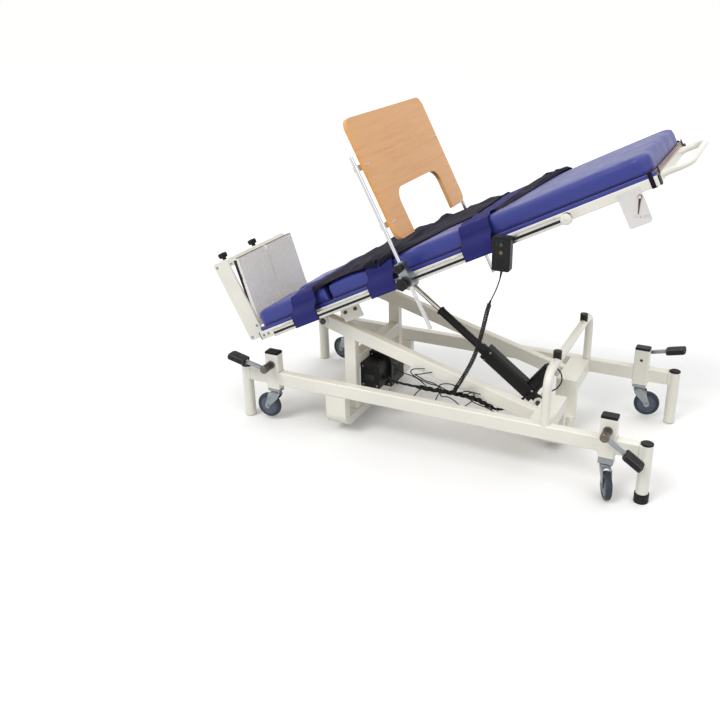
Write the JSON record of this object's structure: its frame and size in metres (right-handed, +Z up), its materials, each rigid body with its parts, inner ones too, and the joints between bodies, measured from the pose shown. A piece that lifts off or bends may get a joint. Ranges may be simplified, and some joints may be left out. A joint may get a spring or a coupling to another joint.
{
  "type": "physiotherapy tilt table",
  "caption": "Steel tilt table on lowering casters with padded top, leg pads, straps, hinged foot rest, clamp-on wooden tray, electric actuator and hand control.",
  "frame": {"origin": "centre of the bounding box's bottom face on the floor, measured without the hand control's cords", "axes": "+X from the foot end to the head end, +Y from the near side with the hand control to the far side, +Z up"},
  "size_m": [2.073, 0.906, 1.3827],
  "materials": {
    "cream_paint": "semi-gloss powder coat",
    "vinyl": "fine-grained upholstery vinyl",
    "webbing": "matt woven strap",
    "black_plastic": "matt",
    "black_rubber": "matt",
    "cord_jacket": "satin cable jacket",
    "glide_plastic": "matt",
    "zinc": "bright zinc",
    "dark_steel": "satin black",
    "tyre": "matt blue-grey tyre and hub",
    "rail_steel": "brushed",
    "chrome": "bright",
    "plate_aluminium": "ribbed",
    "board_wood": "plain ply",
    "tray_wood": "clear varnish",
    "needle_red": "satin",
    "dial_white": "satin",
    "button_green": "matt",
    "button_yellow": "matt"
  },
  "bodies": {
    "base": {"near_rail": "cream_paint", "far_rail": "cream_paint", "foot_cross_member": "cream_paint", "head_cross_member": "cream_paint", "near_truss": "cream_paint", "far_truss": "cream_paint", "hoop": "cream_paint", "rubber_caps": "black_plastic", "leg_tips": "glide_plastic", "black_leg_tip": "black_rubber", "pivot_bolts": "dark_steel", "control_box": "black_plastic", "cable_harness": "cord_jacket"},
    "top": {"tabletop_frame": "cream_paint", "bed_board": "board_wood", "mattress": "vinyl", "leg_pads": "vinyl", "side_rails": "rail_steel", "frame_plugs": "black_plastic", "straps": "webbing", "bracket_bolts": "dark_steel", "angle_plate": "dial_white", "handset": "black_plastic", "handset_cord": "cord_jacket", "curly_cord": "cord_jacket"},
    "needle": {"angle_needle": "needle_red"},
    "up_button": {"up_button": "button_green"},
    "down_button": {"down_button": "button_yellow"},
    "foot_rest": {"foot_frame": "cream_paint", "foot_rods": "chrome"},
    "near_footplate": {"near_footplate": "plate_aluminium"},
    "far_footplate": {"far_footplate": "plate_aluminium"},
    "near_foot_knob": {"near_foot_knob": "black_plastic"},
    "far_foot_knob": {"far_foot_knob": "black_plastic"},
    "tray_carriage": {"tray_clamps": "zinc"},
    "tray": {"tray_board": "tray_wood", "tray_rods": "chrome"},
    "near_rail_knob": {"near_rail_knob": "black_plastic"},
    "far_rail_knob": {"far_rail_knob": "black_plastic"},
    "near_rod_knob": {"near_rod_knob": "black_plastic"},
    "far_rod_knob": {"far_rod_knob": "black_plastic"},
    "actuator": {"actuator_housing": "black_plastic", "actuator_motor": "black_plastic"},
    "actuator_rod": {"actuator_rod": "chrome"},
    "near_foot_pedal": {"near_foot_pedal": "dark_steel"},
    "near_foot_plunger": {"near_foot_plunger": "zinc"},
    "near_foot_fork": {"near_foot_fork": "zinc"},
    "near_foot_wheel": {"near_foot_wheel": "tyre"},
    "far_foot_pedal": {"far_foot_pedal": "dark_steel"},
    "far_foot_plunger": {"far_foot_plunger": "zinc"},
    "far_foot_fork": {"far_foot_fork": "zinc"},
    "far_foot_wheel": {"far_foot_wheel": "tyre"},
    "near_head_pedal": {"near_head_pedal": "dark_steel"},
    "near_head_plunger": {"near_head_plunger": "zinc"},
    "near_head_fork": {"near_head_fork": "zinc"},
    "near_head_wheel": {"near_head_wheel": "tyre"},
    "far_head_pedal": {"far_head_pedal": "dark_steel"},
    "far_head_plunger": {"far_head_plunger": "zinc"},
    "far_head_fork": {"far_head_fork": "zinc"},
    "far_head_wheel": {"far_head_wheel": "tyre"}
  },
  "joints": [
    {"name": "tilt", "type": "hinge", "parent": "base", "child": "top", "pos_m": [-0.44065, 0, 0.487], "axis": [0, -1, 0], "range_deg": [-27.2, 62.8], "deforming": ["curly_cord", "handset_cord"]},
    {"name": "actuator_swing", "type": "hinge", "parent": "base", "child": "actuator", "pos_m": [0.48435, 0, 0.165], "axis": [0, -1, 0], "range_deg": [-0.33, 0.71]},
    {"name": "actuator_stroke", "type": "slide", "parent": "actuator", "child": "actuator_rod", "axis": [-0.8003, 0, 0.5996], "range_m": [-0.1546, 0.3557]},
    {"name": "needle_swing", "type": "hinge", "parent": "top", "child": "needle", "pos_m": [0.879, 0, 1.18769], "axis": [0, -1, 0], "range_deg": [-63, 27.4]},
    {"name": "up_button_press", "type": "slide", "parent": "top", "child": "up_button", "axis": [0, 1, 0], "range_m": [0, 0.0015], "stiffness_N_per_m": 400},
    {"name": "down_button_press", "type": "slide", "parent": "top", "child": "down_button", "axis": [0, 1, 0], "range_m": [0, 0.0015], "stiffness_N_per_m": 400},
    {"name": "foot_slide", "type": "slide", "parent": "top", "child": "foot_rest", "axis": [-0.8894, 0, -0.4571], "range_m": [0, 0.045]},
    {"name": "near_footplate_tilt", "type": "hinge", "parent": "foot_rest", "child": "near_footplate", "pos_m": [-0.80198, 0, 0.40249], "axis": [0, 1, 0], "range_deg": [-8, 5]},
    {"name": "far_footplate_tilt", "type": "hinge", "parent": "foot_rest", "child": "far_footplate", "pos_m": [-0.80198, 0, 0.40249], "axis": [0, 1, 0], "range_deg": [-8, 5]},
    {"name": "near_foot_knob_turn", "type": "hinge", "parent": "foot_rest", "child": "near_foot_knob", "pos_m": [-1.00309, -0.165, 0.67129], "axis": [-0.4571, 0, 0.8894], "continuous": true},
    {"name": "far_foot_knob_turn", "type": "hinge", "parent": "foot_rest", "child": "far_foot_knob", "pos_m": [-1.00309, 0.075, 0.67129], "axis": [-0.4571, 0, 0.8894], "continuous": true},
    {"name": "tray_carriage_slide", "type": "slide", "parent": "top", "child": "tray_carriage", "axis": [0.8894, 0, 0.4571], "range_m": [-0.035, 0.1]},
    {"name": "tray_slide", "type": "slide", "parent": "tray_carriage", "child": "tray", "axis": [-0.4571, 0, 0.8894], "range_m": [-0.03, 0.18]},
    {"name": "near_rail_knob_turn", "type": "hinge", "parent": "tray_carriage", "child": "near_rail_knob", "pos_m": [0.01683, 0, 0.77383], "axis": [0, -1, 0], "continuous": true},
    {"name": "near_rod_knob_turn", "type": "hinge", "parent": "tray_carriage", "child": "near_rod_knob", "pos_m": [0.00094, 0, 0.83537], "axis": [0, -1, 0], "continuous": true},
    {"name": "far_rail_knob_turn", "type": "hinge", "parent": "tray_carriage", "child": "far_rail_knob", "pos_m": [0.01683, 0, 0.77383], "axis": [0, 1, 0], "continuous": true},
    {"name": "far_rod_knob_turn", "type": "hinge", "parent": "tray_carriage", "child": "far_rod_knob", "pos_m": [0.00094, 0, 0.83537], "axis": [0, 1, 0], "continuous": true},
    {"name": "near_foot_pedal_press", "type": "hinge", "parent": "base", "child": "near_foot_pedal", "pos_m": [-0.64765, 0, 0.29], "axis": [0, -1, 0], "range_deg": [0, 73]},
    {"name": "near_foot_plunger_slide", "type": "slide", "parent": "base", "child": "near_foot_plunger", "axis": [0, 0, -1], "range_m": [-0.0002, 0.02161]},
    {"name": "near_foot_swivel", "type": "hinge", "parent": "near_foot_plunger", "child": "near_foot_fork", "pos_m": [-0.64765, -0.35, 0.15], "axis": [0, 0, 1], "continuous": true},
    {"name": "near_foot_wheel_roll", "type": "hinge", "parent": "near_foot_fork", "child": "near_foot_wheel", "pos_m": [-0.68765, -0.35, 0.07159], "axis": [0, -1, 0], "continuous": true},
    {"name": "far_foot_pedal_press", "type": "hinge", "parent": "base", "child": "far_foot_pedal", "pos_m": [-0.64765, 0, 0.29], "axis": [0, -1, 0], "range_deg": [0, 73]},
    {"name": "far_foot_plunger_slide", "type": "slide", "parent": "base", "child": "far_foot_plunger", "axis": [0, 0, -1], "range_m": [-0.0002, 0.02161]},
    {"name": "far_foot_swivel", "type": "hinge", "parent": "far_foot_plunger", "child": "far_foot_fork", "pos_m": [-0.64765, 0.35, 0.15], "axis": [0, 0, 1], "continuous": true},
    {"name": "far_foot_wheel_roll", "type": "hinge", "parent": "far_foot_fork", "child": "far_foot_wheel", "pos_m": [-0.68678, 0.35832, 0.07159], "axis": [-0.2079, -0.9781, 0], "continuous": true},
    {"name": "near_head_pedal_press", "type": "hinge", "parent": "base", "child": "near_head_pedal", "pos_m": [0.85635, 0, 0.29], "axis": [0, 1, 0], "range_deg": [-47, 26]},
    {"name": "near_head_plunger_slide", "type": "slide", "parent": "base", "child": "near_head_plunger", "axis": [0, 0, -1], "range_m": [-0.01399, 0.00783]},
    {"name": "near_head_swivel", "type": "hinge", "parent": "near_head_plunger", "child": "near_head_fork", "pos_m": [0.85635, -0.35, 0.15], "axis": [0, 0, 1], "continuous": true},
    {"name": "near_head_wheel_roll", "type": "hinge", "parent": "near_head_fork", "child": "near_head_wheel", "pos_m": [0.87262, -0.38654, 0.0578], "axis": [0.9135, 0.4067, 0], "continuous": true},
    {"name": "far_head_pedal_press", "type": "hinge", "parent": "base", "child": "far_head_pedal", "pos_m": [0.85635, 0, 0.29], "axis": [0, 1, 0], "range_deg": [0, 73]},
    {"name": "far_head_plunger_slide", "type": "slide", "parent": "base", "child": "far_head_plunger", "axis": [0, 0, -1], "range_m": [-0.0002, 0.02161]},
    {"name": "far_head_swivel", "type": "hinge", "parent": "far_head_plunger", "child": "far_head_fork", "pos_m": [0.85635, 0.35, 0.15], "axis": [0, 0, 1], "continuous": true},
    {"name": "far_head_wheel_roll", "type": "hinge", "parent": "far_head_fork", "child": "far_head_wheel", "pos_m": [0.89596, 0.35557, 0.07159], "axis": [-0.1392, 0.9903, 0], "continuous": true}
  ],
  "couplings": [
    {"joint": "actuator_swing", "follows": "tilt", "ratio": 0.01046},
    {"joint": "actuator_stroke", "follows": "tilt", "m_per_rad": 0.32365},
    {"joint": "needle_swing", "follows": "tilt", "ratio": -1},
    {"joint": "near_foot_plunger_slide", "follows": "near_foot_pedal_press", "m_per_rad": 0.016807},
    {"joint": "far_foot_plunger_slide", "follows": "far_foot_pedal_press", "m_per_rad": 0.016807},
    {"joint": "near_head_plunger_slide", "follows": "near_head_pedal_press", "m_per_rad": 0.016807},
    {"joint": "far_head_plunger_slide", "follows": "far_head_pedal_press", "m_per_rad": 0.016807}
  ]
}
